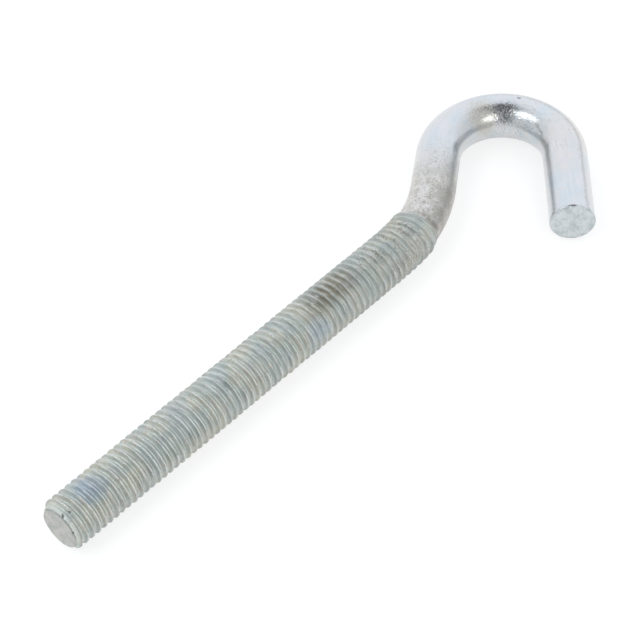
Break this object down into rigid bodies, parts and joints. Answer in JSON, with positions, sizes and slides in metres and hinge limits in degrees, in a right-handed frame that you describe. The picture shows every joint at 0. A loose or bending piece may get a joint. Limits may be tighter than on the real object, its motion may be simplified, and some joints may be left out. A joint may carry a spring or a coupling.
{
  "type": "screw hook",
  "caption": "Round steel screw hook: a straight threaded shank, a gentle neck bend and an open hook, for hanging things from a nut, a plug or a tapped hole.",
  "frame": {"origin": "on the axis of the thread, where the straight shank ends and the neck bend starts", "axes": "+X along the thread and out of its tip, the hook lies towards -X, +Z square to the plane of the bends and up as it lies on a table"},
  "size_m": [0.1615, 0.0494, 0.012],
  "materials": {
    "zinc_plated_steel": "bright zinc plating, duller and stained on the thread and neck"
  },
  "bodies": {
    "root": {"screw_hook": "zinc_plated_steel"}
  },
  "joints": []
}
